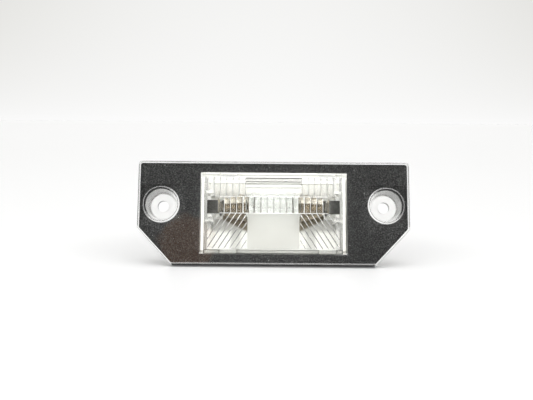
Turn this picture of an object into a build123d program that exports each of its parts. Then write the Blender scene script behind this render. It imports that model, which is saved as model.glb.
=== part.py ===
from build123d import *
import os
from math import atan, cos, degrees, radians, sin, sqrt

# Rear number plate lamp of a car.
# A clear moulded lens carries two screw cups and a box-shaped skirt, and a black mask lies behind its face.
# A white bulb carrier snaps into the skirt from behind and holds a festoon bulb between two spring contacts.
# X runs across the lamp, Y from the face into the depth and Z up, all in millimetres.
# The origin lies midway between the two screw holes, on the plane where the screw cups meet the car body.

# Face plate of the lens
plate_width = 92.0
plate_height = 35.0
plate_thickness = 2.4
corner_cut_width = 11.4
corner_cut_height = 12.1
plate_corner_radius = 0.8
plate_edge_chamfer = 0.3
rim_wall = 0.5
rim_depth = 1.7

# Screw cups, sunk from the face to the mounting plane
screw_edge_margin = 7.75
screw_drop = 14.7
screw_hole_diameter = 4.0
cup_mouth_diameter = 11.5
cup_floor_diameter = 9.2
cup_depth = 7.5
cup_floor_thickness = 2.0
cup_wall = 0.9
cup_mouth_chamfer = 0.25
cup_floor_chamfer = 0.4

# Window in the mask, and the skirt of the lens that stands behind it
window_width = 50.0
window_height = 28.0
skirt_clearance = 0.15
skirt_wall = 1.4
skirt_depth = 12.9
skirt_corner_radius = 0.8

# Optics moulded on the back of the window
flute_pitch = 2.13
flute_height = 0.42
flute_root = 0.3
band_height = 5.4
zone_gap = 0.3
optic_side_margin = 1.05
optic_bottom_margin = 0.4
prism_block_width = 19.2
prism_block_depth = 1.1
prism_top_margin = 0.25
prism_ridge_count = 2
prism_ridge_pitch = 1.25
prism_groove_width = 0.4
prism_groove_depth = 0.28
prism_hollow = 0.3
frost_width = 17.6
frost_depth = 0.4
diagonal_angle = 33.0
diagonal_pitch = 1.6
diagonal_groove_width = 0.3
diagonal_groove_depth = 0.21

# Black mask
mask_thickness = 1.2
mask_gap = 0.05
mask_clearance = 0.1

# Festoon bulb
bulb_length = 38.0
cap_diameter = 9.8
cap_end_diameter = 6.2
cap_length = 9.5
cap_sheet = 0.4
nose_length = 2.2
nose_tip_diameter = 2.2
glass_diameter = 10.5
glass_wall = 0.5
glass_body_length = 14.4
neck_clearance = 0.15
neck_length = 4.0
pinch_length = 4.5
lead_diameter = 0.35
lead_clearance = 0.05
filament_length = 9.0
filament_diameter = 0.5

# Spring contacts, stamped from sheet
sheet_thickness = 0.4
bend_radius = 0.8
leaf_width = 4.7
nose_hole_diameter = 3.4
nose_seat_clearance = 0.1
flap_clearance = 0.45
flap_reach = 2.1
strip_width = 2.8
blade_length = 7.2
blade_chamfer = 0.7
blade_pitch = 7.4
slot_clearance = 0.15

# Bulb carrier
seal_thickness = 0.8
seal_lip_width = 0.4
seal_lip_height = 0.15
seal_clearance = 0.1
base_thickness = 1.6
base_edge_chamfer = 0.4
plug_clearance = 0.15
plug_side_clearance = 0.6
plug_wall = 1.1
reflector_wall = 1.1
trough_clearance = 1.15
upper_wing_angle = 45.0
lower_wing_angle = 30.0
core_rib = 1.4
core_margin = 0.8
core_count = 3
guide_spacing = 9.8
guide_rib = 0.9
guide_length = 2.5
guide_reach = 4.2
guide_lip_height = 1.6
guide_lip_width = 0.5

# Snap hooks on the carrier and their windows in the skirt
snap_left_margin = 7.8
snap_right_margin = 4.6
snap_width = 5.8
snap_length = 2.0
snap_height = 0.85
snap_setback = 3.6
snap_clearance = 0.2

# Connector shroud and heat stakes behind the carrier
socket_width = 12.4
socket_height = 6.6
socket_depth = 9.4
socket_corner_radius = 0.8
shroud_wall = 1.2
latch_width = 4.0
latch_height = 1.0
latch_length = 3.0
latch_setback = 1.6
stake_spacing = 25.0
stake_diameter = 1.6
stake_head_diameter = 2.8
stake_head_height = 0.7
stake_clearance = 0.1

# Depths along Y, from the mounting plane at zero
cup_floor = -cup_floor_thickness
plate_front = cup_floor - cup_depth
plate_back = plate_front + plate_thickness
rim_back = plate_back + rim_depth
mask_front = plate_back + mask_gap
mask_back = mask_front + mask_thickness
skirt_back = plate_back + skirt_depth
base_front = skirt_back + seal_thickness
base_back = base_front + base_thickness

# The reflector trough is round about the bulb and touches the carrier's base
trough_radius = glass_diameter / 2 + trough_clearance
bulb_axis = base_front - trough_radius

# The contact flaps rest on the front edge of the carrier's plug wall
flap_back = bulb_axis - flap_reach + sheet_thickness
plug_front = flap_back

# Places and half sizes across the face
half_width = plate_width / 2
plate_top = screw_drop
plate_bottom = plate_top - plate_height
window_z = (plate_top + plate_bottom) / 2
screw_reach = half_width - screw_edge_margin
screw_places = [(-screw_reach, 0), (screw_reach, 0)]
skirt_width = window_width - 2 * skirt_clearance
skirt_height = window_height - 2 * skirt_clearance
skirt_inner_width = skirt_width - 2 * skirt_wall
skirt_inner_height = skirt_height - 2 * skirt_wall
plug_width = skirt_inner_width - 2 * plug_side_clearance
plug_height = skirt_inner_height - 2 * plug_clearance
plug_inner_width = plug_width - 2 * plug_wall
plug_inner_height = plug_height - 2 * plug_wall
snap_places = [snap_left_margin - skirt_inner_width / 2, skirt_inner_width / 2 - snap_right_margin]

# Screw cups taper, and their towers keep the same wall all the way
cup_slope = (cup_mouth_diameter - cup_floor_diameter) / 2 / cup_depth
cup_draft = degrees(atan(cup_slope))
tower_end_radius = cup_floor_diameter / 2 + cup_wall - cup_floor_thickness * cup_slope
tower_root_radius = tower_end_radius - plate_back * cup_slope

# The leaf of each contact stands where its hole meets the cone of the bulb's nose
cap_radius = cap_diameter / 2
cap_end_radius = cap_end_diameter / 2
bulb_end = bulb_length / 2
cap_start = bulb_end - cap_length
nose_start = bulb_end - nose_length
nose_slope = (cap_end_radius - nose_tip_diameter / 2) / nose_length
nose_seat_radius = nose_hole_diameter / 2 - nose_seat_clearance
leaf_inner = bulb_end - (nose_seat_radius - nose_tip_diameter / 2) / nose_slope
leaf_outer = leaf_inner + sheet_thickness
flap_end = skirt_inner_width / 2 - flap_clearance
blade_outer = (blade_pitch + sheet_thickness) / 2
strip_back = base_back + sheet_thickness
blade_tip = base_back + blade_length

# The leaf narrows to its strip just in front of the reflector trough
leaf_shoulder = bulb_axis + sqrt(trough_radius**2 - (leaf_width / 2) ** 2) - nose_seat_clearance


def across(depth):
    """Plane across the lamp at a depth, seen from the front, with its normal towards the viewer."""
    return Plane(origin=(0, depth, 0), x_dir=(1, 0, 0), z_dir=(0, -1, 0))


def cup_radius(depth):
    """Inner radius of a screw cup at a depth, before its edges are broken."""
    return cup_floor_diameter / 2 + (cup_floor - depth) * cup_slope


def plate_outline(inset):
    """Outline of the face plate, a rectangle with both lower corners cut, moved in by an inset."""
    low_corner = half_width - corner_cut_width
    cut_top = plate_bottom + corner_cut_height
    with BuildSketch() as outline:
        with BuildLine():
            Polyline(
                (-half_width, plate_top),
                (half_width, plate_top),
                (half_width, cut_top),
                (low_corner, plate_bottom),
                (-low_corner, plate_bottom),
                (-half_width, cut_top),
                close=True,
            )
        make_face()
        if inset > 0:
            offset(amount=-inset, kind=Kind.INTERSECTION)
        fillet(outline.vertices(), plate_corner_radius)
    return outline.sketch


def window_frame(outer_width, outer_height, inner_width, inner_height, corner_radius):
    """Rectangular frame about the middle of the window."""
    with BuildSketch() as frame:
        with Locations((0, window_z)):
            RectangleRounded(outer_width, outer_height, corner_radius)
            Rectangle(inner_width, inner_height, mode=Mode.SUBTRACT)
    return frame.sketch


def flute_row(start, end, pitch, height, base):
    """Section through a row of round flutes that stand on a base line and are rooted below it."""
    count = max(1, round((end - start) / pitch))
    step = (end - start) / count
    with BuildSketch() as row:
        with BuildLine():
            for index in range(count):
                left = start + index * step
                crest = (left + step / 2, base + height)
                ThreePointArc((left, base), crest, (left + step, base))
            Polyline((end, base), (end, base - flute_root), (start, base - flute_root), (start, base))
        make_face()
    return row.sketch


def ridge_points(start, end, pitch, groove, depth):
    """Places and heights across a row of flat ridges, with a narrow groove between them."""
    count = max(1, round((end - start) / pitch))
    step = (end - start) / count
    points = []
    for index in range(count):
        left = start + index * step
        points.append((left, 0))
        points.append((left + groove / 2, depth))
        points.append((left + step - groove / 2, depth))
    points.append((end, 0))
    return points


def mirrored(part):
    """Copy of a part on the other side of the lamp's middle plane."""
    with BuildPart() as copy:
        mirror(part, about=Plane.YZ)
    return copy.part


# Optic zones on the back of the window
optic_half = skirt_inner_width / 2 - optic_side_margin
optic_top = window_z + skirt_inner_height / 2
optic_bottom = window_z - skirt_inner_height / 2 + optic_bottom_margin
upper_zone_bottom = band_height / 2 + zone_gap
lower_zone_top = -band_height / 2 - zone_gap
lower_zone_height = lower_zone_top - optic_bottom
lower_zone_middle = (lower_zone_top + optic_bottom) / 2
prism_half = prism_block_width / 2
frost_half = frost_width / 2
diagonal_start = frost_half + zone_gap
diagonal_middle = (diagonal_start + optic_half) / 2
diagonal_reach = optic_half - diagonal_start + lower_zone_height

# Slanting ridges beside the frosted pad, on the left of the window
with BuildPart() as diagonal_ridges:
    lean = radians(diagonal_angle)
    ridge_plane = Plane(
        origin=(-diagonal_middle, plate_back, lower_zone_middle),
        x_dir=(cos(lean), 0, -sin(lean)),
        z_dir=(sin(lean), 0, cos(lean)),
    )
    with BuildSketch(ridge_plane):
        groove = (diagonal_groove_width, diagonal_groove_depth)
        with BuildLine():
            Polyline(
                *ridge_points(-diagonal_reach, diagonal_reach, diagonal_pitch, *groove),
                (diagonal_reach, -flute_root),
                (-diagonal_reach, -flute_root),
                close=True,
            )
        make_face()
    extrude(amount=diagonal_reach, both=True)
    with BuildSketch(across(plate_back + diagonal_groove_depth)):
        with Locations((-diagonal_middle, lower_zone_middle)):
            Rectangle(optic_half - diagonal_start, lower_zone_height)
    extrude(amount=diagonal_groove_depth + flute_root, mode=Mode.INTERSECT)

# Lens: face plate, rim, screw cups, skirt and optics in one clear moulding
with BuildPart() as lens:
    with BuildSketch(across(plate_back)):
        add(plate_outline(0))
    extrude(amount=plate_thickness)
    chamfer(lens.faces().sort_by(Axis.Y)[0].edges(), plate_edge_chamfer)

    # Rim round the back of the plate, which keeps the mask in
    with BuildSketch(across(rim_back)):
        add(plate_outline(0))
        add(plate_outline(rim_wall), mode=Mode.SUBTRACT)
    extrude(amount=rim_depth)

    # Towers of the screw cups, then the cups and their holes, each turned about its screw
    with BuildSketch(across(0)):
        with Locations(*screw_places):
            Circle(tower_end_radius)
    extrude(amount=-plate_back, taper=-cup_draft)
    for screw_x, screw_z in screw_places:
        with BuildSketch(Plane(origin=(screw_x, 0, screw_z), x_dir=(1, 0, 0), z_dir=(0, 0, 1))):
            with BuildLine():
                Polyline(
                    (0, plate_front),
                    (cup_radius(plate_front) + cup_mouth_chamfer, plate_front),
                    (cup_radius(plate_front + cup_mouth_chamfer), plate_front + cup_mouth_chamfer),
                    (cup_radius(cup_floor - cup_floor_chamfer), cup_floor - cup_floor_chamfer),
                    (cup_radius(cup_floor) - cup_floor_chamfer, cup_floor),
                    (screw_hole_diameter / 2, cup_floor),
                    (screw_hole_diameter / 2, 0),
                    (0, 0),
                    close=True,
                )
            make_face()
        revolve(axis=Axis((screw_x, 0, screw_z), (0, 1, 0)), mode=Mode.SUBTRACT)

    # Skirt behind the window, with a window for each snap hook
    with BuildSketch(across(skirt_back)):
        add(
            window_frame(
                skirt_width, skirt_height, skirt_inner_width, skirt_inner_height, skirt_corner_radius
            )
        )
    extrude(amount=skirt_depth)
    with BuildSketch(Plane.XY.offset(window_z)):
        for snap_x in snap_places:
            with Locations((snap_x, skirt_back - snap_setback)):
                Rectangle(snap_width + 2 * snap_clearance, snap_length + 2 * snap_clearance)
    extrude(amount=skirt_height / 2, both=True, mode=Mode.SUBTRACT)

    # Upright flutes beside the prism block and across the band in front of the bulb
    with BuildSketch(Plane.XY.offset(upper_zone_bottom)):
        add(flute_row(-optic_half, -prism_half, flute_pitch, flute_height, plate_back))
        add(flute_row(prism_half, optic_half, flute_pitch, flute_height, plate_back))
    extrude(amount=optic_top - upper_zone_bottom)
    with BuildSketch(Plane.XY):
        add(flute_row(-leaf_outer, leaf_outer, flute_pitch, flute_height, plate_back))
    extrude(amount=band_height / 2, both=True)

    # Prism block: flat ridges along its top, then one hollow face down to the band
    with BuildSketch(Plane.YZ):
        prism_top = optic_top - prism_top_margin
        ridges_bottom = prism_top - prism_ridge_count * prism_ridge_pitch
        prism_back = plate_back + prism_block_depth
        ridge_root = prism_back - prism_groove_depth
        ridge_span = prism_top - ridges_bottom
        groove = (prism_groove_width, prism_groove_depth)
        ridges = [
            (ridge_root + height, prism_top - drop)
            for drop, height in ridge_points(0, ridge_span, prism_ridge_pitch, *groove)
        ]
        face_middle = (
            (ridge_root + plate_back) / 2 - prism_hollow,
            (ridges_bottom + upper_zone_bottom) / 2,
        )
        with BuildLine():
            Polyline((plate_back - flute_root, prism_top), *ridges)
            ThreePointArc((ridge_root, ridges_bottom), face_middle, (plate_back, upper_zone_bottom))
            Polyline(
                (plate_back, upper_zone_bottom),
                (plate_back - flute_root, upper_zone_bottom),
                (plate_back - flute_root, prism_top),
            )
        make_face()
    extrude(amount=prism_half, both=True)

    # Frosted pad under the band, between the slanting ridges
    with BuildSketch(across(plate_back + frost_depth)):
        with Locations((0, lower_zone_middle)):
            Rectangle(frost_width, lower_zone_height)
    extrude(amount=frost_depth)
    add(diagonal_ridges.part)
    add(mirrored(diagonal_ridges.part))

# Mask: black plate inside the rim, open for the window and the screw cups
with BuildPart() as face_mask:
    with BuildSketch(across(mask_back)):
        add(plate_outline(rim_wall + mask_clearance))
        with Locations((0, window_z)):
            Rectangle(window_width, window_height, mode=Mode.SUBTRACT)
        with Locations(*screw_places):
            Circle(tower_root_radius + mask_clearance, mode=Mode.SUBTRACT)
    extrude(amount=mask_thickness)

# Seal between the skirt and the carrier, with a narrow lip that presses on the skirt
with BuildPart() as carrier_seal:
    with BuildSketch(across(base_front)):
        inner_width = plug_width + 2 * seal_clearance
        inner_height = plug_height + 2 * seal_clearance
        add(window_frame(skirt_width, skirt_height, inner_width, inner_height, skirt_corner_radius))
    extrude(amount=seal_thickness - seal_lip_height)
    with BuildSketch(across(base_front)):
        lip_width = skirt_width - skirt_wall + seal_lip_width
        lip_height = skirt_height - skirt_wall + seal_lip_width
        lip_inner_width = lip_width - 2 * seal_lip_width
        lip_inner_height = lip_height - 2 * seal_lip_width
        add(window_frame(lip_width, lip_height, lip_inner_width, lip_inner_height, skirt_corner_radius / 2))
    extrude(amount=seal_thickness)

# Reflector: a trough round the bulb with a wing above and a longer one below
with BuildPart() as reflector:
    upper = radians(upper_wing_angle)
    lower = radians(lower_wing_angle)
    wing_length = skirt_height
    upper_end = (bulb_axis + trough_radius * cos(upper), trough_radius * sin(upper))
    lower_end = (bulb_axis + trough_radius * cos(lower), -trough_radius * sin(lower))
    with BuildSketch(Plane.YZ):
        with BuildLine():
            Line(
                (upper_end[0] - wing_length * sin(upper), upper_end[1] + wing_length * cos(upper)),
                upper_end,
            )
            ThreePointArc(upper_end, (bulb_axis + trough_radius, 0), lower_end)
            Line(
                lower_end,
                (lower_end[0] - wing_length * sin(lower), lower_end[1] - wing_length * cos(lower)),
            )
            offset(amount=reflector_wall, side=Side.LEFT)
        make_face()
    extrude(amount=plug_width / 2 - plug_wall / 2, both=True)
    with BuildSketch(across(base_back)):
        with Locations((0, window_z)):
            Rectangle(plug_width, plug_height - plug_wall)
    extrude(amount=base_back - plug_front, mode=Mode.INTERSECT)

# Carrier: base, plug wall, reflector, contact guides, snap hooks and connector shroud
with BuildPart() as bulb_carrier:
    with BuildSketch(across(base_back)):
        with Locations((0, window_z)):
            RectangleRounded(skirt_width, skirt_height, skirt_corner_radius)
    extrude(amount=base_thickness)
    chamfer(bulb_carrier.faces().sort_by(Axis.Y)[-1].edges(), base_edge_chamfer)
    with BuildSketch(across(base_front)):
        add(window_frame(plug_width, plug_height, plug_inner_width, plug_inner_height, plug_wall / 2))
    extrude(amount=base_front - plug_front)

    # Pockets cored out of the base, above and below the connector
    shroud_top = socket_height / 2 + shroud_wall
    core_rows = [
        (shroud_top + core_margin, window_z + plug_inner_height / 2 - core_margin),
        (window_z - plug_inner_height / 2 + core_margin, -shroud_top - core_margin),
    ]
    core_pitch = (plug_inner_width - 2 * core_margin + core_rib) / core_count
    with BuildSketch(across(base_back)):
        for row_bottom, row_top in core_rows:
            with Locations((0, (row_bottom + row_top) / 2)):
                with GridLocations(core_pitch, 0, core_count, 1):
                    Rectangle(core_pitch - core_rib, row_top - row_bottom)
    extrude(amount=base_thickness, mode=Mode.SUBTRACT)
    add(reflector.part)

    # Ribs that guide the bulb's caps between the contacts, each with a lip at its free end
    guide_end = skirt_inner_width / 2 - plug_clearance
    guide_start = guide_end - guide_length
    with BuildSketch(across(skirt_back)):
        for side in (-1, 1):
            with Locations((side * (guide_start + guide_end) / 2, 0)):
                with GridLocations(0, guide_spacing, 1, 2):
                    Rectangle(guide_length, guide_rib)
            with Locations((side * (guide_start + guide_lip_width / 2), 0)):
                with GridLocations(0, guide_spacing, 1, 2):
                    Rectangle(guide_lip_width, guide_lip_height)
    extrude(amount=skirt_back - bulb_axis + guide_reach)

    # Snap hooks on both long plug walls, with their ramps towards the face
    hook_back = skirt_back - snap_setback + snap_length / 2
    for snap_x in snap_places:
        for wall in (-1, 1):
            wall_z = window_z + wall * plug_height / 2
            with BuildSketch(Plane.YZ.offset(snap_x)):
                with BuildLine():
                    Polyline(
                        (hook_back - snap_length, wall_z),
                        (hook_back, wall_z + wall * snap_height),
                        (hook_back, wall_z),
                        close=True,
                    )
                make_face()
            extrude(amount=snap_width / 2, both=True)

    # Connector shroud with a latch ramp on its top
    shroud_back = base_back + socket_depth
    shroud_width = socket_width + 2 * shroud_wall
    with BuildSketch(across(shroud_back)):
        RectangleRounded(shroud_width, 2 * shroud_top, socket_corner_radius + shroud_wall)
        RectangleRounded(socket_width, socket_height, socket_corner_radius, mode=Mode.SUBTRACT)
    extrude(amount=socket_depth)
    latch_back = shroud_back - latch_setback
    with BuildSketch(Plane.YZ):
        with BuildLine():
            Polyline(
                (latch_back, shroud_top),
                (latch_back - latch_length, shroud_top + latch_height),
                (latch_back - latch_length, shroud_top),
                close=True,
            )
        make_face()
    extrude(amount=latch_width / 2, both=True)

    # Slots for the contact leaves, with room for their bends, and notches in the shroud for the strips
    slot_start = leaf_inner - bend_radius
    slot_end = leaf_outer + slot_clearance
    with BuildSketch(across(base_back)):
        with GridLocations(slot_start + slot_end, 0, 2, 1):
            Rectangle(slot_end - slot_start, strip_width + 2 * slot_clearance)
    extrude(amount=base_thickness + reflector_wall, mode=Mode.SUBTRACT)
    with BuildSketch(across(strip_back + slot_clearance)):
        Rectangle(shroud_width, strip_width + 2 * slot_clearance)
    extrude(amount=sheet_thickness + slot_clearance, mode=Mode.SUBTRACT)

    # Heat stakes through the strips
    with BuildSketch(across(strip_back)):
        with GridLocations(stake_spacing, 0, 2, 1):
            Circle(stake_diameter / 2)
    extrude(amount=sheet_thickness)
    with BuildSketch(across(strip_back + stake_head_height)):
        with GridLocations(stake_spacing, 0, 2, 1):
            Circle(stake_head_diameter / 2)
    extrude(amount=stake_head_height)

# Right contact: flap, leaf with a hole for the bulb's nose, strip and connector blade
with BuildPart() as contact_right:
    with BuildSketch(Plane.XY):
        with BuildLine():
            FilletPolyline(
                (flap_end, flap_back),
                (leaf_outer, flap_back),
                (leaf_outer, leaf_shoulder),
                radius=bend_radius,
            )
            offset(amount=sheet_thickness, side=Side.LEFT)
        make_face()
    extrude(amount=leaf_width / 2, both=True)
    with BuildSketch(Plane.XY):
        with BuildLine():
            FilletPolyline(
                (leaf_outer, leaf_shoulder),
                (leaf_outer, strip_back),
                (blade_outer, strip_back),
                (blade_outer, blade_tip),
                radius=bend_radius,
            )
            offset(amount=sheet_thickness, side=Side.LEFT)
        make_face()
    extrude(amount=strip_width / 2, both=True)
    with BuildSketch(Plane.YZ.offset(leaf_inner)):
        with Locations((bulb_axis, 0)):
            Circle(nose_hole_diameter / 2)
    extrude(amount=sheet_thickness + bend_radius, mode=Mode.SUBTRACT)
    with BuildSketch(across(strip_back)):
        with Locations((stake_spacing / 2, 0)):
            Circle(stake_diameter / 2 + stake_clearance)
    extrude(amount=sheet_thickness, mode=Mode.SUBTRACT)
    tip_corners = contact_right.faces().sort_by(Axis.Y)[-1].edges().filter_by(Axis.X)
    chamfer(tip_corners, length=blade_chamfer)

with BuildPart() as contact_left:
    mirror(contact_right.part, about=Plane.YZ)

# Bulb pieces turned about the bulb's own axis
bulb_plane = Plane(origin=(0, bulb_axis, 0), x_dir=(1, 0, 0), z_dir=(0, 0, 1))
bulb_line = Axis((0, bulb_axis, 0), (1, 0, 0))
cap_taper = (cap_radius - cap_end_radius) / (nose_start - cap_start)
neck_radius = cap_radius - cap_sheet - neck_clearance
neck_end = cap_start + neck_length
neck_end_radius = neck_radius - neck_length * cap_taper
lead_radius = lead_diameter / 2
filament_end = filament_length / 2

with BuildPart() as bulb_cap_right:
    with BuildSketch(bulb_plane):
        with BuildLine():
            Polyline(
                (cap_start, cap_radius - cap_sheet),
                (cap_start, cap_radius),
                (nose_start, cap_end_radius),
                (bulb_end, nose_tip_diameter / 2),
                (bulb_end, 0),
                (nose_start, 0),
                (nose_start, cap_end_radius - cap_sheet),
                close=True,
            )
        make_face()
    revolve(axis=bulb_line)

with BuildPart() as bulb_cap_left:
    mirror(bulb_cap_right.part, about=Plane.YZ)

with BuildPart() as bulb_glass:
    glass_radius = glass_diameter / 2
    body_half = glass_body_length / 2
    with BuildSketch(bulb_plane):
        with BuildLine():
            Polyline(
                (-neck_end, neck_end_radius),
                (-cap_start, neck_radius),
                (-body_half, glass_radius),
                (body_half, glass_radius),
                (cap_start, neck_radius),
                (neck_end, neck_end_radius),
            )
            offset(amount=glass_wall, side=Side.RIGHT, kind=Kind.INTERSECTION)
        make_face()
        with Locations((0, (neck_end_radius + lead_radius + lead_clearance) / 2)):
            with GridLocations(2 * neck_end - pinch_length, 0, 2, 1):
                Rectangle(pinch_length, neck_end_radius - lead_radius - lead_clearance)
    revolve(axis=bulb_line)

with BuildPart() as lead_wire_right:
    with BuildSketch(Plane.YZ.offset(filament_end)):
        with Locations((bulb_axis, 0)):
            Circle(lead_radius)
    extrude(amount=nose_start - filament_end)

with BuildPart() as lead_wire_left:
    mirror(lead_wire_right.part, about=Plane.YZ)

with BuildPart() as filament:
    with BuildSketch(Plane.YZ):
        with Locations((bulb_axis, 0)):
            Circle(filament_diameter / 2)
    extrude(amount=filament_end, both=True)

pieces = {
    "lens": lens,
    "face_mask": face_mask,
    "carrier_seal": carrier_seal,
    "bulb_carrier": bulb_carrier,
    "contact_left": contact_left,
    "contact_right": contact_right,
    "bulb_glass": bulb_glass,
    "bulb_cap_left": bulb_cap_left,
    "bulb_cap_right": bulb_cap_right,
    "lead_wire_left": lead_wire_left,
    "lead_wire_right": lead_wire_right,
    "filament": filament,
}

os.makedirs("parts", exist_ok=True)
for name, piece in pieces.items():
    piece.part.label = name
    export_step(piece.part, f"parts/{name}.step")
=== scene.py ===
"""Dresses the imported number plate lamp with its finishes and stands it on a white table."""

from functools import partial, reduce
from math import atan2, cos, hypot, pi, radians, sin

import bpy
import bmesh
from mathutils import Matrix, Vector


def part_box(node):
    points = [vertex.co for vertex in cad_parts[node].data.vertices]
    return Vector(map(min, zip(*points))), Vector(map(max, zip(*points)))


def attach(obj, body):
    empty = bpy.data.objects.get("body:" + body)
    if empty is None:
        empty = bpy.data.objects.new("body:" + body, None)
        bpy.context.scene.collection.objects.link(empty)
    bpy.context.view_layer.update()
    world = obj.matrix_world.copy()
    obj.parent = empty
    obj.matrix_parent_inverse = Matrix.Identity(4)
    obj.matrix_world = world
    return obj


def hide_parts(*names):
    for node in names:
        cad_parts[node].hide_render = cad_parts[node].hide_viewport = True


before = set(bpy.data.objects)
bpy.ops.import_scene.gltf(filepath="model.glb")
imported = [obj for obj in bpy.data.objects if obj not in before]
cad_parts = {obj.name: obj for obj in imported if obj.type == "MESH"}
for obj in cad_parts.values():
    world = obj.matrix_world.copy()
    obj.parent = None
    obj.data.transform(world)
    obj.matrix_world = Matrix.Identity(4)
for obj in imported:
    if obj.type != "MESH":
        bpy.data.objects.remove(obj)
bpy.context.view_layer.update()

# Sizes in metres, in the lamp's own frame: X across, Y into the depth, Z up
MM = 0.001
PLATE_FRONT = -9.5 * MM
PLATE_BACK = -7.1 * MM
RIM_BACK = -5.4 * MM
BULB_AXIS_Y = 0.2 * MM
SAME_PLANE = 0.02 * MM

# Outline of the face with its cut lower corners, the rim along it and the edge of the cut corners
FACE_HALF_WIDTH = 46.0 * MM
FACE_TOP = 14.7 * MM
FACE_BOTTOM = -20.3 * MM
CUT_WIDTH = 11.4 * MM
CUT_HEIGHT = 12.1 * MM
RIM_WIDTH = 0.6 * MM
EDGE_DEPTH = 0.35 * MM
BEVEL_MIDDLE = -8.5 * MM
BEVEL_HALF_DEPTH = 1.05 * MM

# Window of the face
WINDOW_MIDDLE_Z = -2.8 * MM
WINDOW_HALF_WIDTH = 25.0 * MM
WINDOW_HALF_HEIGHT = 14.0 * MM

# Screw cups beside the window: lip, throat, floor with its hole, and the end of their towers
CUP_X = 38.25 * MM
CUP_REACH = 6.6 * MM
CUP_LIP = -9.37 * MM
CUP_LIP_HALF_DEPTH = 0.11 * MM
THROAT_MIDDLE = -8.3 * MM
THROAT_HALF_DEPTH = 0.95 * MM
SIDE_FADE = 2.5 * MM
HOLE_REACH = 2.2 * MM
HOLE_MIDDLE = -1.0 * MM
HOLE_HALF_DEPTH = 0.95 * MM
CUP_FLOOR = -2.0 * MM
TOWER_END = 0.0

# Prism block high on the window's back: ridges, the grooves between them, and its sides
PRISM_MIDDLE_Z = 8.15 * MM
PRISM_HALF_WIDTH = 9.65 * MM
PRISM_HALF_HEIGHT = 1.3 * MM
PRISM_BACK = -6.0 * MM
GROOVE_MIDDLE = -6.15 * MM
GROOVE_HALF_DEPTH = 0.13 * MM
BLOCK_SIDE_X = 9.6 * MM
BLOCK_SIDE_HALF_WIDTH = 0.12 * MM
BLOCK_MIDDLE = -6.5 * MM
BLOCK_HALF_DEPTH = 0.65 * MM

# Frosted pad low on the window's back
FROST_BACK = -6.7 * MM
FROST_HALF_WIDTH = 8.8 * MM
FROST_MIDDLE_Z = -8.925 * MM
FROST_HALF_HEIGHT = 5.925 * MM

# Upright flutes beside the prism block and in a band across the middle, with the seams of the band
FLUTE_X = 16.0 * MM
FLUTE_Z = 6.325 * MM
FLUTE_HALF_WIDTH = 6.38 * MM
FLUTE_HALF_HEIGHT = 3.3 * MM
VALLEY_MIDDLE = -7.07 * MM
VALLEY_HALF_DEPTH = 0.06 * MM
BAND_HALF_WIDTH = 18.4 * MM
BAND_HALF_HEIGHT = 2.7 * MM
SEAM_Z = 2.85 * MM
SEAM_HALF_WIDTH = 0.16 * MM

# Slanting grooves beside the pad, and narrow strips between the flutes and the window's sides
SLANT_X = 15.75 * MM
SLANT_HALF_WIDTH = 6.65 * MM
SLANT_MIDDLE = -7.02 * MM
SLANT_HALF_DEPTH = 0.11 * MM
# Painted shade: grey strips between the flutes and the window's sides
CORNER_X = 22.65 * MM
CORNER_Z = 6.9 * MM
CORNER_HALF_WIDTH = 0.25 * MM
CORNER_HALF_HEIGHT = 2.1 * MM

# Haze in the slanting grooves, the band and its seams, thinner low down
HAZE_LOW = -9.5 * MM
HAZE_HIGH = -7.0 * MM
HAZE_THIN = 0.22
HAZE_THICK = 0.55

# Clear plastic of the lens: polish, slight waves, and its tints where it is looked or lit through
LENS_IOR = 1.49
LENS_SPECULAR = 0.5
LENS_GRAIN = 0.8 * MM
LENS_POLISH = (0.0, 0.03)
LENS_WAVE = 6 * MM
LENS_WAVE_DETAIL = 1.0
LENS_WAVE_DEPTH = 0.015 * MM
FACE_COLOUR = (0.78, 0.785, 0.78)
WINDOW_COLOUR = (0.98, 0.98, 0.965)
# Painted light on the cups' inner lower walls and painted shade on their outer upper walls
CUP_PAINTED_LIGHT_WALL = (0.9, 0.9, 0.89)
CUP_PAINTED_SHADE_WALL = (0.36, 0.36, 0.35)
FACE_TINT = (0.2, 0.2, 0.2)
OPEN_TINT = (0.96, 0.965, 0.96)

# Zones of the lens: how much they scatter light, how rough they are, and their colours, laid in this order
LENS_MILK = {
    "frost": 0.5,
    "seat": 0.12,
    "rim": 0.2,
    # Painted highlight: a pale ring on the cups' lips
    "lip": 0.22,
    # Painted shade: the screw holes' walls scatter almost all light, in near black
    "hole": 0.95,
    # Painted shade: the prism block's grooves scatter light in a dark colour
    "grooves": 0.85,
    # Painted light: the cut corners' edge faces scatter light in white
    "bevel": 0.5,
    # Painted shade: grey lines scatter light in the valleys, at the block's sides and in the corner strips
    "lines": 0.6,
}
LENS_ROUGHNESS = {
    "frost": 0.6,
    "seat": 0.4,
    "black_and_painted_shade": 0.5,
}
LENS_COLOURS = {
    # Painted shade: near-black walls of the screw holes
    "hole": (0.1, 0.1, 0.095),
    # Painted highlight: pale lips of the cups
    "lip": (0.9, 0.9, 0.89),
    # Painted shade: grey ridges and near-black grooves of the prism block
    "ridges": (0.55, 0.55, 0.535),
    "grooves": (0.12, 0.12, 0.115),
    # Painted light: white edge faces of the cut corners
    "bevel": (0.93, 0.93, 0.92),
    # Painted shade: grey lines in the valleys, at the block's sides and in the corner strips
    "lines": (0.5, 0.5, 0.49),
    "frost": (0.52, 0.52, 0.495),
    "seat": (0.95, 0.95, 0.94),
}

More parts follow.
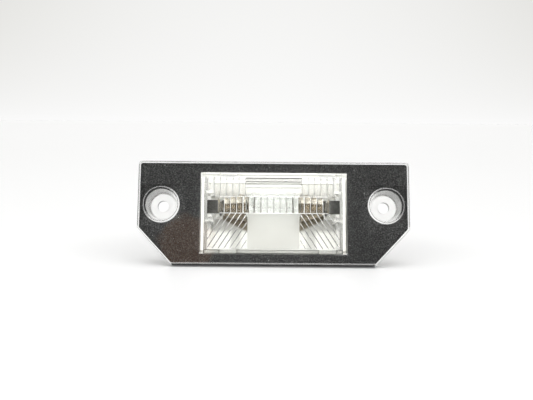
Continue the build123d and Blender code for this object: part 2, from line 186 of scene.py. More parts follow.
# Black mask: tones of its grain, and specks of dust
MASK_GRAIN = 0.4 * MM
MASK_GRAIN_DETAIL = 3.0
MASK_TONES = [
    (0.36, (0.034, 0.034, 0.034)),
    (0.54, (0.07, 0.07, 0.07)),
    (0.68, (0.135, 0.135, 0.132)),
]
SPECK_SPACING = 1.7 * MM
SPECK_RADIUS = 0.2 * MM
SPECK_SHARE = 0.2
SPECK_COLOUR = (0.3, 0.3, 0.29)
MASK_IOR = 1.5
MASK_SHEEN_GRAIN = 0.25 * MM
MASK_ROUGHNESS = (0.35, 0.5)

# White carrier: cloudy tones, fine grain, and painted shade low down
CARRIER_CLOUD = 4 * MM
CARRIER_TONES = [
    (0.3, (0.91, 0.91, 0.89)),
    (0.7, (0.95, 0.95, 0.93)),
]
CARRIER_GRAIN = 0.3 * MM
CARRIER_GRAIN_DEPTH = 0.01 * MM
CARRIER_ROUGHNESS = 0.4
CARRIER_SHADE_HIGH = -3.0 * MM
CARRIER_SHADE_LOW = -14.0 * MM
CARRIER_SHADE_COLOUR = (0.8, 0.8, 0.78)

# Painted reflection of the bulb's caps, brown on the carrier under them: its lower edge climbs away from the
# middle
CAP_REFLECTION_START = 9.0 * MM
CAP_REFLECTION_LOW = 8.2 * MM
CAP_REFLECTION_SLOPE = 0.5
CAP_REFLECTION_EDGE = 0.5 * MM
CAP_REFLECTION_X = 13.5 * MM
CAP_REFLECTION_Z = -5.0 * MM
CAP_REFLECTION_HALF_WIDTH = 4.5 * MM
CAP_REFLECTION_HALF_HEIGHT = 4.6 * MM
CAP_REFLECTION_COLOUR = (0.17, 0.145, 0.105)
REFLECTOR_SLOPE = 0.577
REFLECTOR_MIDDLE = 8.2 * MM

# Painted shade on the carrier, a grey band along the painted reflection and a column down beside the pad
FRINGE_X = 16.0 * MM
FRINGE_Z = -9.5 * MM
FRINGE_HALF_WIDTH = 7.0 * MM
FRINGE_HALF_HEIGHT = 6.0 * MM
FRINGE_COLUMN = 13.1 * MM
FRINGE_REACH = 1.7 * MM
FRINGE_LOW = -8.0 * MM
FRINGE_EDGE = 0.6 * MM
FRINGE_SHADE_COLOUR = (0.53, 0.53, 0.515)

# Rubber seal, with painted shade along its bottom
SEAL_GRAIN = 0.2 * MM
SEAL_GRAIN_DEPTH = 0.02 * MM
SEAL_TONES = [
    (0.3, (0.88, 0.88, 0.86)),
    (0.7, (0.94, 0.94, 0.92)),
]
SEAL_ROUGHNESS = 0.7
SEAL_LOW_SHADE = 2.0 * MM
SEAL_LOW_SHADE_COLOUR = (0.5, 0.5, 0.48)

# Metals: tones of their mottle, and roughness from the darkest tone to the lightest
MOTTLE_DETAIL = 4.0
CONTACT_MOTTLE = 0.6 * MM
CONTACT_TONES = [
    (0.35, (0.07, 0.07, 0.066)),
    (0.65, (0.11, 0.11, 0.105)),
]
CONTACT_ROUGHNESS = (0.45, 0.3)
WIRE_MOTTLE = 0.3 * MM
WIRE_TONES = [
    (0.35, (0.6, 0.6, 0.59)),
    (0.65, (0.75, 0.75, 0.74)),
]
WIRE_ROUGHNESS = (0.35, 0.2)

# Bulb caps' tones by height, from their lower side to their upper one: painted shade in a dark brown band
# under a painted highlight stripe; and their noses, painted lighter
CAP_RADIUS = 4.9 * MM
CAP_MOTTLE = 0.8 * MM
CAP_MOTTLE_SHARE = 0.03
CAP_ROUGHNESS = (0.4, 0.25)
CAP_PAINTED_TONES = [
    (0.0, (0.34, 0.3, 0.24)),
    (0.25, (0.25, 0.21, 0.155)),
    (0.4, (0.12, 0.097, 0.064)),
    (0.57, (0.12, 0.097, 0.064)),
    (0.63, (0.66, 0.62, 0.54)),
    (0.72, (0.66, 0.62, 0.54)),
    (0.82, (0.36, 0.32, 0.255)),
    (1.0, (0.5, 0.47, 0.41)),
]
NOSE_START = 16.8 * MM
NOSE_PAINTED_LIGHT = (0.5, 0.45, 0.36)

# Glass of the bulb
GLASS_IOR = 1.5
GLASS_GRAIN = 1.5 * MM
GLASS_POLISH = (0.0, 0.02)
GLASS_COLOUR = (0.98, 0.99, 0.99)
GLASS_TINT = (0.97, 0.97, 0.97)

# Filament coil
COIL_LENGTH = 9.0 * MM
COIL_DIAMETER = 0.5 * MM
COIL_WIRE = 0.1 * MM
COIL_TURNS = 24
COIL_STEPS_A_TURN = 20
COIL_WIRE_SIDES = 6

# Camera: a 50 mm lens on a 36 mm sensor, a little below the square-on view of the face
PHOTO_WIDTH = 533
PHOTO_HEIGHT = 400
CAMERA_LENS = 50.0
CAMERA_SENSOR = 36.0
CAMERA_NEAR = 1 * MM
CAMERA_TILT = radians(8.33)
CAMERA_ROLL = radians(0.47)
CAMERA_DISTANCE = 249.56 * MM
AIM_POINT = Vector((0, PLATE_FRONT, -3.05 * MM))
AIM_PIXEL = (273.6, 213.3)

# Table: the lamp leans back on the rim's lower edge and on the chamfered back edge of the carrier's base
BASE_EDGE_BEHIND_SEAL = 1.4 * MM
FLOOR_HALF_SIZE = 3.0
FLOOR_COLOUR = 0.94
# Painted shadow round the lamp: the colour falls from the far white to the shadow colour near it
FLOOR_SHADOW_COLOUR = 0.82
FLOOR_FAR_COLOUR = 0.98
FLOOR_SHADE_WIDTH = 60 * MM
FLOOR_SHADE_DEPTH = 35 * MM
FLOOR_SHADE_BACK = 28 * MM
FLOOR_SHADE_EDGES = (0.6, 1.7)
FLOOR_ROUGHNESS = 0.4

# Room: its light, its levels from the front of the lamp to its back, the backdrop and a warm spot
SKY_LEVEL = 0.44
ROOM_LEVELS = [
    (0.0, 0.12),
    (0.03, 0.12),
    (0.07, 1.0),
    (0.4, 1.0),
    (0.5, 0.5),
    (0.6, 0.45),
    (0.8, 0.95),
    (0.9, 1.0),
]
WHITE = (1.0, 1.0, 1.0)
BACKDROP_TOP = (0.74, 0.735, 0.705)
BACKDROP_RISE = 0.2
BACKDROP_BASE = 0.1
BACKDROP_SPREAD = 0.36
BACKDROP_MIDDLE_SHARE = 0.4
WARM_WAY = (-0.105, -0.985, 0.085)
WARM_EDGES = (0.032, 0.042)
WARM_COLOUR = (0.95, 0.45, 0.2)

# Lamps: a broad key, a round fill on either side, and how often their light bounces
LAMP_DISTANCE = 0.6
KEY_STRENGTH = 2.1
KEY_ANGLE = radians(70)
KEY_WAY = (0.05, -0.13, 1.0)
FILL_ASIDE = 0.6
FILL_AHEAD = -1.0
FILL_UP = 0.12
FILL_SIZE = 0.45
FILL_POWER = 1.62
LIGHT_BOUNCES = 32
WHITE_BOUNCES = 8


def add_object(name, data):
    """New object in the scene."""
    thing = bpy.data.objects.new(name, data)
    bpy.context.collection.objects.link(thing)
    return thing


def node_tree(owner):
    """Emptied node tree of a material or a world."""
    owner.use_nodes = True
    owner.node_tree.nodes.clear()
    return owner.node_tree


def set_input(tree, socket, value):
    """Links an input to another socket or gives it a value; three numbers make an opaque colour."""
    if isinstance(value, bpy.types.NodeSocket):
        tree.links.new(value, socket)
    elif socket.type == "RGBA":
        socket.default_value = (*value, 1.0)
    else:
        socket.default_value = value


def add_node(tree, kind, inputs=None, **settings):
    """New node with its settings and the values or links of its input sockets."""
    node = tree.nodes.new(kind)
    for name, value in settings.items():
        setattr(node, name, value)
    for socket, value in (inputs or {}).items():
        set_input(tree, node.inputs[socket], value)
    return node


def maths(tree, operation, *values):
    """Result of one Math node."""
    return add_node(tree, "ShaderNodeMath", dict(enumerate(values)), operation=operation).outputs[0]


def both(tree, *values):
    """Product of some values; of zones, one inside all of them."""
    return reduce(partial(maths, tree, "MULTIPLY"), values)


def either(tree, *values):
    """Largest of some values; of zones, one inside any of them."""
    return reduce(partial(maths, tree, "MAXIMUM"), values)


def fade(tree, value, start, end, low=0.0, high=1.0, kind="LINEAR"):
    """Number that runs from low to high as a value runs from start to end, and no further."""
    inputs = {"Value": value, "From Min": start, "From Max": end, "To Min": low, "To Max": high}
    return add_node(tree, "ShaderNodeMapRange", inputs, interpolation_type=kind).outputs["Result"]


def span(tree, factor, low, high):
    """Number that runs from low to high as a factor runs from 0 to 1."""
    return fade(tree, factor, 0.0, 1.0, low, high)


def mixed(tree, factor, first, second, kind="MIX"):
    """Colour between two others by a factor."""
    inputs = {0: factor, 6: first, 7: second}
    return add_node(tree, "ShaderNodeMix", inputs, data_type="RGBA", blend_type=kind).outputs[2]


def ramp(tree, factor, stops):
    """Colours along a factor, as (position, colour) stops."""
    node = add_node(tree, "ShaderNodeValToRGB", {"Fac": factor})
    elements = node.color_ramp.elements
    while len(elements) < len(stops):
        elements.new(1.0)
    for element, (position, colour) in zip(elements, stops):
        element.position = position
        element.color = (*colour, 1.0)
    return node.outputs["Color"]


def place(tree):
    """Place on an object, in metres in its own frame."""
    return add_node(tree, "ShaderNodeTexCoord").outputs["Object"]


def axes(tree):
    """Place on an object as three outputs, X, Y and Z."""
    return add_node(tree, "ShaderNodeSeparateXYZ", {"Vector": place(tree)}).outputs


def from_middle(tree):
    """Metres from the lamp's middle to either side."""
    return maths(tree, "ABSOLUTE", axes(tree)["X"])


def grain(tree, size, detail=2.0):
    """Noise of about a grain size in metres, fixed to the lamp."""
    inputs = {"Vector": place(tree), "Scale": 1 / size, "Detail": detail}
    return add_node(tree, "ShaderNodeTexNoise", inputs).outputs["Fac"]


def bump(tree, height, depth):
    """Surface normal that follows a height map of a depth in metres."""
    inputs = {"Height": height, "Distance": depth, "Strength": 1.0}
    return add_node(tree, "ShaderNodeBump", inputs).outputs["Normal"]


def specks(tree, spacing, radius, share):
    """Small round specks, a share of them kept, on cells of a spacing in metres."""
    cells = add_node(tree, "ShaderNodeTexVoronoi", {"Vector": place(tree), "Scale": 1 / spacing})
    chance = add_node(tree, "ShaderNodeSeparateColor", {"Color": cells.outputs["Color"]})
    near = maths(tree, "LESS_THAN", cells.outputs["Distance"], radius / spacing)
    kept = maths(tree, "LESS_THAN", chance.outputs["Red"], share)
    return both(tree, near, kept)


def seen_share(tree):
    """One on rays that show a thing to the eye, straight, mirrored or through plastic, and zero on others."""
    path = add_node(tree, "ShaderNodeLightPath").outputs
    return either(tree, path["Is Camera Ray"], path["Is Transmission Ray"], path["Is Glossy Ray"])


def mix_shaders(tree, output, factor, first, second):
    """Sends two shaders, mixed by a factor, to an output node."""
    mix = add_node(tree, "ShaderNodeMixShader", {0: factor, 1: first.outputs[0], 2: second.outputs[0]})
    tree.links.new(mix.outputs[0], output.inputs["Surface"])


def surface_material(name, inputs, detail):
    """Material with one principled shader; detail(tree) gives the inputs that vary over the surface."""
    material = bpy.data.materials.new(name)
    tree = node_tree(material)
    output = add_node(tree, "ShaderNodeOutputMaterial")
    shader = add_node(tree, "ShaderNodeBsdfPrincipled", {**inputs, **detail(tree)})
    tree.links.new(shader.outputs["BSDF"], output.inputs["Surface"])
    return material


def pass_light(material, tint):
    """Lets lamps shine straight through a clear material in the colour that tint(tree) gives."""
    tree = material.node_tree
    output = next(node for node in tree.nodes if node.type == "OUTPUT_MATERIAL")
    shader = next(node for node in tree.nodes if node.type == "BSDF_PRINCIPLED")
    shadow_ray = add_node(tree, "ShaderNodeLightPath").outputs["Is Shadow Ray"]
    through = add_node(tree, "ShaderNodeBsdfTransparent", {"Color": tint(tree)})
    mix_shaders(tree, output, shadow_ray, shader, through)
    return material


def within(tree, x, z, half_width, half_height):
    """One inside a rectangle of the front view and inside its mirror image, and zero outside."""
    wide = maths(tree, "COMPARE", from_middle(tree), x, half_width)
    high = maths(tree, "COMPARE", axes(tree)["Z"], z, half_height)
    return both(tree, wide, high)


def at_depth(tree, depth, margin=SAME_PLANE):
    """One on a plane across the lamp at a depth, within a margin, and zero off it."""
    return maths(tree, "COMPARE", axes(tree)["Y"], depth, margin)


def at_height(tree, height):
    """One on a level plane through the lamp at a height, and zero off it."""
    return maths(tree, "COMPARE", axes(tree)["Z"], height, SAME_PLANE)


def in_window(tree):
    """One inside the window of the face, and zero outside."""
    return within(tree, 0.0, WINDOW_MIDDLE_Z, WINDOW_HALF_WIDTH, WINDOW_HALF_HEIGHT)


def in_cups(tree):
    """One inside the squares round the screw cups, and zero outside."""
    return within(tree, CUP_X, 0.0, CUP_REACH, CUP_REACH)


def shaded_cup_side(tree):
    """One on the outer upper side of a screw cup, where shade is painted, falling to zero on its inner lower
    side.
    """
    out = maths(tree, "SUBTRACT", from_middle(tree), CUP_X)
    out = maths(tree, "ADD", out, axes(tree)["Z"])
    return fade(tree, out, -SIDE_FADE, SIDE_FADE)


def past_cut(tree):
    """Metres past the cut across the face's lower corners, below zero inside the face."""
    length = hypot(CUT_WIDTH, CUT_HEIGHT)
    reach = (FACE_HALF_WIDTH * CUT_HEIGHT - (FACE_BOTTOM + CUT_HEIGHT) * CUT_WIDTH) / length
    aside = maths(tree, "MULTIPLY_ADD", from_middle(tree), CUT_HEIGHT / length, -reach)
    return maths(tree, "MULTIPLY_ADD", axes(tree)["Z"], -CUT_WIDTH / length, aside)


def in_rim(tree):
    """One in the rim round the face, and zero inside it."""
    height = axes(tree)["Z"]
    edge = either(
        tree,
        maths(tree, "SUBTRACT", from_middle(tree), FACE_HALF_WIDTH),
        past_cut(tree),
        maths(tree, "SUBTRACT", height, FACE_TOP),
        maths(tree, "SUBTRACT", FACE_BOTTOM, height),
    )
    return maths(tree, "GREATER_THAN", edge, -RIM_WIDTH)


def painted_shade_lines(tree):
    """One on the grey lines of painted shade in flute valleys, on the prism block's sides and beside the
    flutes.
    """
    valleys = at_depth(tree, VALLEY_MIDDLE, VALLEY_HALF_DEPTH)
    flutes = within(tree, FLUTE_X, FLUTE_Z, FLUTE_HALF_WIDTH, FLUTE_HALF_HEIGHT)
    middle = within(tree, 0.0, 0.0, FROST_HALF_WIDTH, BAND_HALF_HEIGHT)
    sides = within(tree, BLOCK_SIDE_X, FLUTE_Z, BLOCK_SIDE_HALF_WIDTH, FLUTE_HALF_HEIGHT)
    corners = within(tree, CORNER_X, CORNER_Z, CORNER_HALF_WIDTH, CORNER_HALF_HEIGHT)
    return either(
        tree,
        both(tree, flutes, valleys),
        both(tree, middle, valleys),
        both(tree, sides, at_depth(tree, BLOCK_MIDDLE, BLOCK_HALF_DEPTH)),
        both(tree, corners, at_depth(tree, PLATE_BACK)),
    )


def groove_haze(tree):
    """Share of light that haze scatters in the slanting grooves, the middle band and its seams."""
    slants = within(tree, SLANT_X, FROST_MIDDLE_Z, SLANT_HALF_WIDTH, FROST_HALF_HEIGHT)
    band = within(tree, 0.0, 0.0, BAND_HALF_WIDTH, BAND_HALF_HEIGHT)
    seams = [within(tree, 0.0, height, BAND_HALF_WIDTH, SEAM_HALF_WIDTH) for height in (SEAM_Z, -SEAM_Z)]
    hazy = either(
        tree,
        both(tree, slants, at_depth(tree, SLANT_MIDDLE, SLANT_HALF_DEPTH)),
        both(tree, band, at_depth(tree, VALLEY_MIDDLE, VALLEY_HALF_DEPTH)),
        both(tree, either(tree, *seams), at_depth(tree, PLATE_BACK)),
    )
    return both(tree, hazy, fade(tree, axes(tree)["Z"], HAZE_LOW, HAZE_HIGH, HAZE_THIN, HAZE_THICK))


def mask_and_painted_shade(tree):
    """One where the lens shows the black mask or where shade is painted black, on its lower face and the
    cups' outer upper throats; zero where it is clear.
    """
    outside = maths(tree, "SUBTRACT", 1.0, in_window(tree))
    throat = both(tree, in_cups(tree), at_depth(tree, THROAT_MIDDLE, THROAT_HALF_DEPTH))
    return either(
        tree,
        both(tree, outside, at_depth(tree, PLATE_BACK)),
        # Painted shade: the lens's lower face is painted black
        at_height(tree, FACE_BOTTOM),
        # Painted shade: the cups' throats, black on their outer upper side
        both(tree, throat, shaded_cup_side(tree)),
    )


def lens_zones(tree):
    """Zones of the lens by name: one inside, zero outside, with the painted shade fading in the cups'
    throats.
    """
    cups = in_cups(tree)
    holes = within(tree, CUP_X, 0.0, HOLE_REACH, HOLE_REACH)
    block = within(tree, 0.0, PRISM_MIDDLE_Z, PRISM_HALF_WIDTH, PRISM_HALF_HEIGHT)
    pad = within(tree, 0.0, FROST_MIDDLE_Z, FROST_HALF_WIDTH, FROST_HALF_HEIGHT)
    cut = maths(tree, "GREATER_THAN", past_cut(tree), -RIM_WIDTH)
    return {
        "black_and_painted_shade": mask_and_painted_shade(tree),
        "rim": both(tree, in_rim(tree), at_depth(tree, PLATE_FRONT, EDGE_DEPTH)),
        "bevel": both(tree, cut, at_depth(tree, BEVEL_MIDDLE, BEVEL_HALF_DEPTH)),
        "lip": both(tree, cups, at_depth(tree, CUP_LIP, CUP_LIP_HALF_DEPTH)),
        "hole": both(tree, holes, at_depth(tree, HOLE_MIDDLE, HOLE_HALF_DEPTH)),
        "seat": both(tree, cups, either(tree, at_depth(tree, CUP_FLOOR), at_depth(tree, TOWER_END))),
        "ridges": both(tree, block, at_depth(tree, PRISM_BACK)),
        "grooves": both(tree, block, at_depth(tree, GROOVE_MIDDLE, GROOVE_HALF_DEPTH)),
        "frost": both(tree, pad, at_depth(tree, FROST_BACK)),
        "lines": painted_shade_lines(tree),
    }


def mask_black(tree):
    """Colour of the black mask: a fine pale grain, with light specks of dust."""
    black = ramp(tree, grain(tree, MASK_GRAIN, MASK_GRAIN_DETAIL), MASK_TONES)
    dust_and_shade = specks(tree, SPECK_SPACING, SPECK_RADIUS, SPECK_SHARE)
    return mixed(tree, dust_and_shade, black, SPECK_COLOUR)


def clear_plastic():
    """Clear moulded plastic, frosted or hazy in its zones, with painted shade, light and highlights in
    others, and black where the mask is behind it.
    """

    def detail(tree):
        zones = lens_zones(tree)
        black_and_painted_shade = zones["black_and_painted_shade"]
        milky = groove_haze(tree)
        for zone, share in LENS_MILK.items():
            milky = either(tree, milky, both(tree, zones[zone], share))
        rough = span(tree, grain(tree, LENS_GRAIN), *LENS_POLISH)
        for zone, roughness in LENS_ROUGHNESS.items():
            rough = either(tree, rough, both(tree, zones[zone], roughness))
        colour = mixed(tree, in_window(tree), FACE_COLOUR, WINDOW_COLOUR)
        # Painted shade on the cups' outer upper walls, painted light on their inner lower walls
        cup_wall_light_and_shade = mixed(tree, shaded_cup_side(tree), CUP_PAINTED_LIGHT_WALL, CUP_PAINTED_SHADE_WALL)
        colour = mixed(tree, in_cups(tree), colour, cup_wall_light_and_shade)
        for zone, paint in LENS_COLOURS.items():
            colour = mixed(tree, zones[zone], colour, paint)
        return {
            # Black where the mask is behind the lens, and where shade is painted black
            "Base Color": mixed(tree, black_and_painted_shade, colour, mask_black(tree)),
            "Transmission Weight": maths(tree, "SUBTRACT", 1.0, either(tree, black_and_painted_shade, milky)),
            "Roughness": rough,
            "Specular IOR Level": span(tree, black_and_painted_shade, LENS_SPECULAR, 0.0),
            "Normal": bump(tree, grain(tree, LENS_WAVE, LENS_WAVE_DETAIL), LENS_WAVE_DEPTH),
        }

    def tint(tree):
        return mixed(tree, either(tree, in_window(tree), in_cups(tree)), FACE_TINT, OPEN_TINT)

    return pass_light(surface_material("clear_plastic", {"IOR": LENS_IOR}, detail), tint)


def black_plastic():
    """Black plastic with a fine pale grain."""

    def detail(tree):
        sheen = grain(tree, MASK_SHEEN_GRAIN)
        return {"Base Color": mask_black(tree), "Roughness": span(tree, sheen, *MASK_ROUGHNESS)}

    return surface_material("black_plastic", {"IOR": MASK_IOR}, detail)


def reflector_front(tree):
    """One on the side of the reflector that faces the bulb, and zero behind it."""
    spot = axes(tree)
    across = maths(tree, "MULTIPLY_ADD", spot["Z"], -REFLECTOR_SLOPE, spot["Y"])
    return maths(tree, "LESS_THAN", across, REFLECTOR_MIDDLE)


def painted_cap_reflection(tree):
    """Share of the brown painted reflection of the bulb's caps on the reflector, with a soft lower edge."""
    base = CAP_REFLECTION_LOW + CAP_REFLECTION_SLOPE * CAP_REFLECTION_START
    drop = maths(tree, "MULTIPLY_ADD", from_middle(tree), -CAP_REFLECTION_SLOPE, base)
    above = maths(tree, "ADD", axes(tree)["Z"], drop)
    near = within(tree, CAP_REFLECTION_X, CAP_REFLECTION_Z, CAP_REFLECTION_HALF_WIDTH, CAP_REFLECTION_HALF_HEIGHT)
    return both(tree, fade(tree, above, -CAP_REFLECTION_EDGE, CAP_REFLECTION_EDGE), near, reflector_front(tree))


def painted_shade_fringe(tree):
    """Share of the painted shade on the reflector: a column beside the pad and a band along the painted
    reflection.
    """
    aside = maths(tree, "ABSOLUTE", maths(tree, "SUBTRACT", from_middle(tree), FRINGE_COLUMN))
    column = fade(tree, aside, FRINGE_REACH + FRINGE_EDGE, FRINGE_REACH - FRINGE_EDGE)
    band = fade(tree, axes(tree)["Z"], FRINGE_LOW - FRINGE_EDGE, FRINGE_LOW + FRINGE_EDGE)
    near = within(tree, FRINGE_X, FRINGE_Z, FRINGE_HALF_WIDTH, FRINGE_HALF_HEIGHT)
    return both(tree, near, reflector_front(tree), either(tree, column, band))


def white_plastic():
    """White moulded plastic with a soft sheen, with painted shade low down and beside the pad, and a brown
    painted reflection of the bulb's caps under them.
    """

    def detail(tree):
        # Painted shade: the carrier darker towards the bottom
        dust_and_shade = fade(tree, axes(tree)["Z"], CARRIER_SHADE_HIGH, CARRIER_SHADE_LOW)
        colour = ramp(tree, grain(tree, CARRIER_CLOUD), CARRIER_TONES)
        colour = mixed(tree, dust_and_shade, colour, CARRIER_SHADE_COLOUR)
        # Painted shade beside the pad and along the painted reflection
        colour = mixed(tree, painted_shade_fringe(tree), colour, FRINGE_SHADE_COLOUR)
        # Painted reflection: a brown image of the bulb's caps on the carrier
        colour = mixed(tree, painted_cap_reflection(tree), colour, CAP_REFLECTION_COLOUR)
        return {
            "Base Color": colour,
            "Normal": bump(tree, grain(tree, CARRIER_GRAIN), CARRIER_GRAIN_DEPTH),
        }

    return surface_material("white_plastic", {"Roughness": CARRIER_ROUGHNESS}, detail)


def seal_rubber():
    """Pale silicone rubber, with painted shade along the bottom."""

    def detail(tree):
        fine = grain(tree, SEAL_GRAIN)
        # Painted shade along the bottom of the seal
        low = within(tree, 0.0, WINDOW_MIDDLE_Z - WINDOW_HALF_HEIGHT, WINDOW_HALF_WIDTH, SEAL_LOW_SHADE)
        return {
            "Base Color": mixed(tree, low, ramp(tree, fine, SEAL_TONES), SEAL_LOW_SHADE_COLOUR),
            "Normal": bump(tree, fine, SEAL_GRAIN_DEPTH),
        }

    return surface_material("seal_rubber", {"Roughness": SEAL_ROUGHNESS}, detail)


def metal(name, mottle_size, tones, roughness):
    """Plated metal that is mottled between two tones."""

    def detail(tree):
        mottle = grain(tree, mottle_size, MOTTLE_DETAIL)
        return {"Base Color": ramp(tree, mottle, tones), "Roughness": span(tree, mottle, *roughness)}

    return surface_material(name, {"Metallic": 1.0}, detail)


def cap_plating():
    """Plated bulb cap, coloured by height: a painted highlight stripe above painted shade in dark brown."""

    def detail(tree):
        mottle = grain(tree, CAP_MOTTLE, MOTTLE_DETAIL)
        nose = maths(tree, "GREATER_THAN", from_middle(tree), NOSE_START)
        # From 0 at the cap's lowest line to 1 at its highest
        level = maths(tree, "MULTIPLY_ADD", axes(tree)["Z"], 0.5 / CAP_RADIUS, 0.5)
        level = maths(tree, "ADD", level, span(tree, mottle, -CAP_MOTTLE_SHARE, CAP_MOTTLE_SHARE))
        return {
            # Painted highlight and painted shade by height, and painted light on the noses
            "Base Color": mixed(tree, nose, ramp(tree, level, CAP_PAINTED_TONES), NOSE_PAINTED_LIGHT),
            "Roughness": span(tree, mottle, *CAP_ROUGHNESS),
        }

    return surface_material("cap_plating", {"Metallic": 1.0}, detail)


def bulb_glass():
    """Thin clear bulb glass."""

    def detail(tree):
        return {"Roughness": span(tree, grain(tree, GLASS_GRAIN), *GLASS_POLISH)}

    inputs = {"Base Color": GLASS_COLOUR, "Transmission Weight": 1.0, "IOR": GLASS_IOR}
    return pass_light(surface_material("bulb_glass", inputs, detail), lambda tree: GLASS_TINT)


def dress(finishes):
    """Gives each CAD node its finish."""
    for node, material in finishes.items():
        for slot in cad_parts[node].material_slots:
            slot.material = material


def coil_ring(shape, step, steps):
    """Ring of corners round the coil's wire, at one of the steps along its helix."""
    helix_radius = (COIL_DIAMETER - COIL_WIRE) / 2
    pitch = (COIL_LENGTH - COIL_WIRE) / COIL_TURNS
    turn = 2 * pi * step / COIL_STEPS_A_TURN
    x = (step / steps - 0.5) * (COIL_LENGTH - COIL_WIRE)
    outward = Vector((0, cos(turn), sin(turn)))
    along = Vector((pitch / (2 * pi * helix_radius), -sin(turn), cos(turn))).normalized()
    sideways = along.cross(outward)
    middle = Vector((x, BULB_AXIS_Y, 0)) + outward * helix_radius
    ring = []
    for side in range(COIL_WIRE_SIDES):
        angle = 2 * pi * side / COIL_WIRE_SIDES
        reach = (outward * cos(angle) + sideways * sin(angle)) * COIL_WIRE / 2
        ring.append(shape.verts.new(middle + reach))
    return ring


def filament_coil(material):
    """Tungsten coil between the lead wires, a wire swept along a helix, in place of the plain rod."""
    steps = COIL_TURNS * COIL_STEPS_A_TURN
    shape = bmesh.new()
    rings = [coil_ring(shape, step, steps) for step in range(steps + 1)]
    for first, second in zip(rings, rings[1:]):
        for side in range(COIL_WIRE_SIDES):
            after = (side + 1) % COIL_WIRE_SIDES
            wall = shape.faces.new((first[side], second[side], second[after], first[after]))
            wall.smooth = True
    shape.faces.new(rings[0])
    shape.faces.new(reversed(rings[-1]))
    bmesh.ops.recalc_face_normals(shape, faces=shape.faces)
    mesh = bpy.data.meshes.new("filament_coil")
    shape.to_mesh(mesh)
    shape.free()
    mesh.materials.append(material)
    coil = add_object("filament_coil", mesh)
    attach(coil, "root")
    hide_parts("filament")


def lean_angle():
    """Slope of the table in the lamp's frame, from the rim's lower edge to the carrier's."""
    lens_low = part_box("lens")[0]
    seal_low, seal_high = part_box("carrier_seal")
    carrier_back = seal_high.y + BASE_EDGE_BEHIND_SEAL
    return atan2(seal_low.z - lens_low.z, carrier_back - RIM_BACK)


def table_white():
    """White of the table with a painted shadow round the lamp, and clear from below."""
    material = bpy.data.materials.new("table_white")
    tree = node_tree(material)
    output = add_node(tree, "ShaderNodeOutputMaterial")
    spot = axes(tree)
    # Painted shadow: an oval round a point behind the lamp
    aside = maths(tree, "DIVIDE", spot["X"], FLOOR_SHADE_WIDTH)
    along = maths(tree, "SUBTRACT", spot["Y"], FLOOR_SHADE_BACK)
    along = maths(tree, "DIVIDE", along, FLOOR_SHADE_DEPTH)
    off = maths(tree, "MULTIPLY_ADD", along, along, both(tree, aside, aside))
    off = maths(tree, "SQRT", off)
    painted_shadow = fade(tree, off, *FLOOR_SHADE_EDGES, FLOOR_SHADOW_COLOUR, FLOOR_FAR_COLOUR, "SMOOTHSTEP")
    colour = span(tree, seen_share(tree), FLOOR_COLOUR, painted_shadow)
    paint = add_node(tree, "ShaderNodeBsdfPrincipled", {"Base Color": colour, "Roughness": FLOOR_ROUGHNESS})
    clear = add_node(tree, "ShaderNodeBsdfTransparent")
    from_below = add_node(tree, "ShaderNodeNewGeometry").outputs["Backfacing"]
    mix_shaders(tree, output, from_below, paint, clear)
    return material


def table(lean):
    """White table top under the lamp, which takes the lamp's shadow."""
    mesh = bpy.data.meshes.new("table")
    shape = bmesh.new()
    bmesh.ops.create_grid(shape, x_segments=1, y_segments=1, size=FLOOR_HALF_SIZE)
    shape.to_mesh(mesh)
    shape.free()
    mesh.materials.append(table_white())
    floor = add_object("table", mesh)
    contact = Vector((0, RIM_BACK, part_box("lens")[0].z))
    floor.matrix_world = Matrix.Translation(contact) @ Matrix.Rotation(lean, 4, "X")


def room_colour(tree, way):
    """Surroundings along a way of looking: dark straight in front of the lamp, white behind it."""
    depth = add_node(tree, "ShaderNodeSeparateXYZ", {"Vector": way}).outputs["Y"]
    # From 0 straight in front of the lamp to 1 straight behind it
    inward = maths(tree, "MULTIPLY_ADD", depth, 0.5, 0.5)
    return ramp(tree, inward, [(stop, (level, level, level)) for stop, level in ROOM_LEVELS])


def warm_spot(tree, way):
    """One in the middle of a warm thing in front of the lamp, which its face mirrors, and zero round it."""
    distance = add_node(tree, "ShaderNodeVectorMath", {0: way, 1: WARM_WAY}, operation="DISTANCE")
    return fade(tree, distance.outputs["Value"], *WARM_EDGES, 1.0, 0.0, "SMOOTHSTEP")


def backdrop_shade(tree, way, lean):
    """Shade of the backdrop above the table, a little grey towards its upper corners."""
    inputs = {"Vector": way, "Angle": -lean}
    level_way = add_node(tree, "ShaderNodeVectorRotate", inputs, rotation_type="X_AXIS").outputs[0]
    seen = add_node(tree, "ShaderNodeSeparateXYZ", {"Vector": level_way}).outputs
    rise = maths(tree, "MULTIPLY_ADD", seen["Z"], 1 / BACKDROP_RISE, BACKDROP_BASE)
    rise = maths(tree, "SQRT", either(tree, rise, 0.0))
    aside = maths(tree, "POWER", maths(tree, "DIVIDE", seen["X"], BACKDROP_SPREAD), 2.0)
    grey = both(tree, rise, span(tree, aside, BACKDROP_MIDDLE_SHARE, 1.0))
    return mixed(tree, grey, WHITE, BACKDROP_TOP)


def sky(lean):
    """Room: a plain level of light, and surroundings that the background, metal and plastic show."""
    world = bpy.data.worlds.new("white_room")
    bpy.context.scene.world = world
    tree = node_tree(world)
    output = add_node(tree, "ShaderNodeOutputWorld")
    light = add_node(tree, "ShaderNodeBackground", {"Strength": SKY_LEVEL})
    way = add_node(tree, "ShaderNodeTexCoord").outputs["Generated"]
    path = add_node(tree, "ShaderNodeLightPath").outputs
    warm = both(tree, warm_spot(tree, way), path["Is Glossy Ray"])
    room = mixed(tree, warm, room_colour(tree, way), WARM_COLOUR)
    room = mixed(tree, path["Is Camera Ray"], room, WHITE)
    colour = mixed(tree, 1.0, room, backdrop_shade(tree, way, lean), "MULTIPLY")
    backdrop = add_node(tree, "ShaderNodeBackground", {"Color": colour, "Strength": 1.0})
    mix_shaders(tree, output, seen_share(tree), light, backdrop)


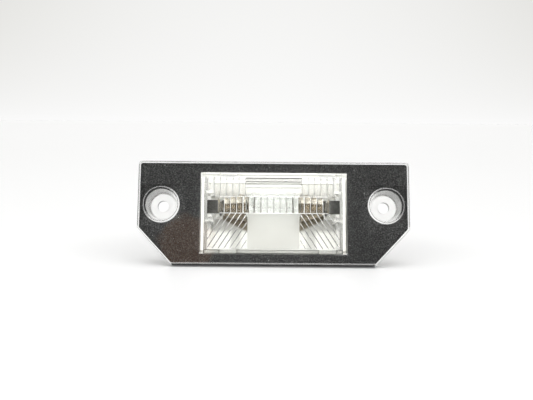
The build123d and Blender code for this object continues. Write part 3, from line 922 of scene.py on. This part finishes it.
def aim_lamp(name, data, way, lean):
    """Lamp that shines on the object from a direction in the table's own frame."""
    lamp = add_object(name, data)
    back = Matrix.Rotation(lean, 3, "X") @ Vector(way)
    lamp.location = back.normalized() * LAMP_DISTANCE
    lamp.rotation_euler = back.to_track_quat("Z", "Y").to_euler()


def lamps(lean):
    """Broad key from above and a little in front, and a soft fill in front on either side."""
    key = bpy.data.lights.new("key", "SUN")
    key.energy = KEY_STRENGTH
    key.angle = KEY_ANGLE
    aim_lamp("key", key, KEY_WAY, lean)
    for side, aside in (("left", -FILL_ASIDE), ("right", FILL_ASIDE)):
        fill = bpy.data.lights.new(f"fill_{side}", "AREA")
        fill.shape = "DISK"
        fill.size = FILL_SIZE
        fill.energy = FILL_POWER
        aim_lamp(f"fill_{side}", fill, (aside, FILL_AHEAD, FILL_UP), lean)


def camera():
    """Camera from the photograph's own perspective of the face plate."""
    focal = CAMERA_LENS / CAMERA_SENSOR * PHOTO_WIDTH
    turn = Matrix.Rotation(CAMERA_ROLL, 3, "Z")
    across = turn @ Vector((1, 0, 0))
    up = turn @ Vector((0, -cos(CAMERA_TILT), sin(CAMERA_TILT)))
    inward = turn @ Vector((0, sin(CAMERA_TILT), cos(CAMERA_TILT)))
    to_lamp = Matrix((across, inward, up))
    aim_right = (AIM_PIXEL[0] - PHOTO_WIDTH / 2) / focal
    aim_down = (AIM_PIXEL[1] - PHOTO_HEIGHT / 2) / focal
    aim = Vector((aim_right, aim_down, 1.0)) * CAMERA_DISTANCE
    eye_point = AIM_POINT - to_lamp @ aim
    right = to_lamp @ Vector((1, 0, 0))
    down = to_lamp @ Vector((0, 1, 0))
    ahead = to_lamp @ Vector((0, 0, 1))
    basis = Matrix((right, -down, -ahead)).transposed()
    data = bpy.data.cameras.new("photo_camera")
    data.lens = CAMERA_LENS
    data.sensor_width = CAMERA_SENSOR
    data.clip_start = CAMERA_NEAR
    eye = add_object("photo_camera", data)
    eye.matrix_world = Matrix.Translation(eye_point) @ basis.to_4x4()
    bpy.context.scene.camera = eye


# The lamp's finishes
contact_metal = metal("contact_metal", CONTACT_MOTTLE, CONTACT_TONES, CONTACT_ROUGHNESS)
cap_metal = cap_plating()
wire_metal = metal("wire_metal", WIRE_MOTTLE, WIRE_TONES, WIRE_ROUGHNESS)
dress(
    {
        "lens": clear_plastic(),
        "face_mask": black_plastic(),
        "bulb_carrier": white_plastic(),
        "carrier_seal": seal_rubber(),
        "contact_left": contact_metal,
        "contact_right": contact_metal,
        "bulb_cap_left": cap_metal,
        "bulb_cap_right": cap_metal,
        "bulb_glass": bulb_glass(),
        "lead_wire_left": wire_metal,
        "lead_wire_right": wire_metal,
    }
)
filament_coil(wire_metal)

# The stage
lean = lean_angle()
table(lean)
sky(lean)
lamps(lean)
camera()
bpy.context.scene.view_settings.view_transform = "Standard"

# Light runs far along the clear walls and between the white ones, and glints stay sharp
bpy.context.scene.cycles.max_bounces = LIGHT_BOUNCES
bpy.context.scene.cycles.glossy_bounces = LIGHT_BOUNCES
bpy.context.scene.cycles.transmission_bounces = LIGHT_BOUNCES
bpy.context.scene.cycles.diffuse_bounces = WHITE_BOUNCES
bpy.context.scene.cycles.blur_glossy = 0.0
